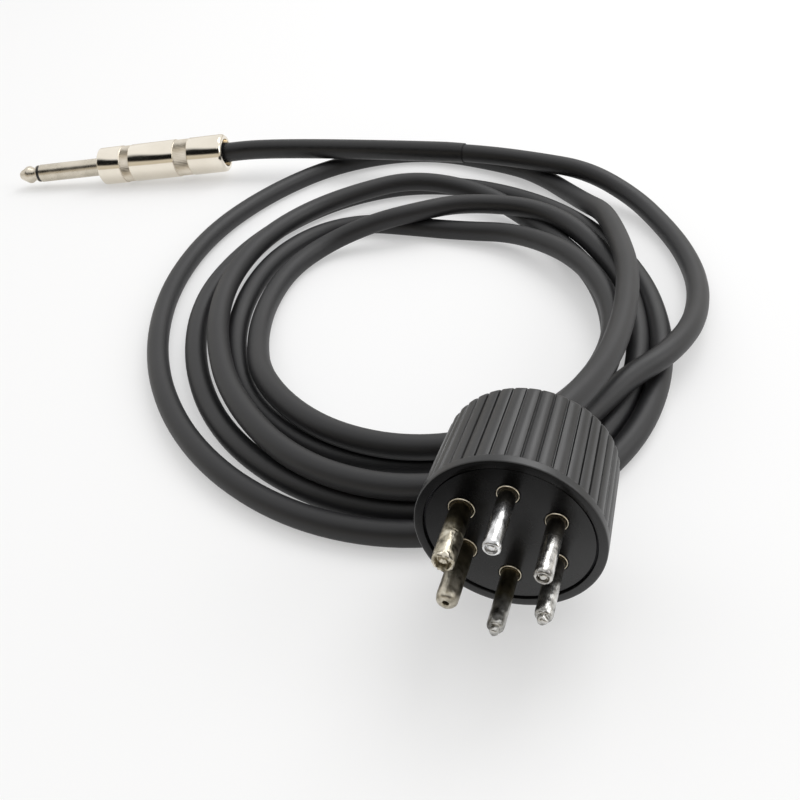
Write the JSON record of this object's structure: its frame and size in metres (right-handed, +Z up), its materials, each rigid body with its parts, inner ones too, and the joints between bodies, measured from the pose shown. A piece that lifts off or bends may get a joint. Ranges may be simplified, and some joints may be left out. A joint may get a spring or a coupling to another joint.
{
  "type": "instrument cable",
  "caption": "Coiled instrument cable with a fluted multi-pin round plug on one end and a quarter-inch phone plug with a banded metal barrel on the other.",
  "frame": {"origin": "on the surface that the lead lies on, midway between the outer limits of its two plugs", "axes": "+Z up; the multi-pin plug's pins point along -Y; the phone plug's barrel front faces roughly -X"},
  "size_m": [0.2528, 0.2212, 0.0403],
  "materials": {
    "cap": "satin moulded plastic",
    "insert": "satin",
    "ring": "blackened",
    "pin_metal": "tinned, tarnished near the base",
    "solder": "bright, lumpy",
    "grommet": "matte",
    "clamp": "zinc plated",
    "core": "insulated",
    "bare_wire": "tinned copper",
    "plug_metal": "nickel plated brass",
    "plug_insulator": "black",
    "lug": "tinned",
    "washer": "fibre",
    "cable_jacket": "satin",
    "shrink_sleeve": "matte",
    "barrel_metal": "nickel plated brass",
    "liner": "varnished paper tube"
  },
  "bodies": {
    "lead": {"plug_cap": "cap", "pin_insert": "insert", "retaining_ring": "ring", "pin_1": "pin_metal", "pin_2": "pin_metal", "pin_3": "pin_metal", "pin_4": "pin_metal", "pin_5": "pin_metal", "pin_6": "pin_metal", "pin_solder_1": "solder", "pin_solder_2": "solder", "pin_solder_3": "solder", "pin_solder_4": "solder", "pin_solder_5": "solder", "pin_solder_6": "solder", "cable_grommet": "grommet", "cable_clamp": "clamp", "core_lead_1": "core", "core_lead_2": "core", "link_wire_1": "bare_wire", "link_wire_2": "bare_wire", "phone_tip": "plug_metal", "tip_insulator": "plug_insulator", "rod_insulator": "plug_insulator", "phone_sleeve": "plug_metal", "ground_lug": "lug", "lug_washer": "washer", "tip_lug": "lug", "tip_core": "bare_wire", "ground_core": "bare_wire", "tip_solder": "solder", "ground_solder": "solder", "cable_coil": "cable_jacket", "cable_lead_plug": "cable_jacket", "cable_lead_phone": "cable_jacket", "heat_shrink": "shrink_sleeve"},
    "liner": {"barrel_liner": "liner"},
    "barrel": {"barrel": "barrel_metal"}
  },
  "joints": [
    {"name": "barrel_draw", "type": "slide", "parent": "lead", "child": "liner", "axis": [0.9869, 0.1528, 0.0523], "range_m": [0, 0.018]},
    {"name": "barrel_turn", "type": "hinge", "parent": "liner", "child": "barrel", "pos_m": [-0.06223, 0.09489, 0.00793], "axis": [0.9869, 0.1528, 0.0523], "continuous": true}
  ]
}
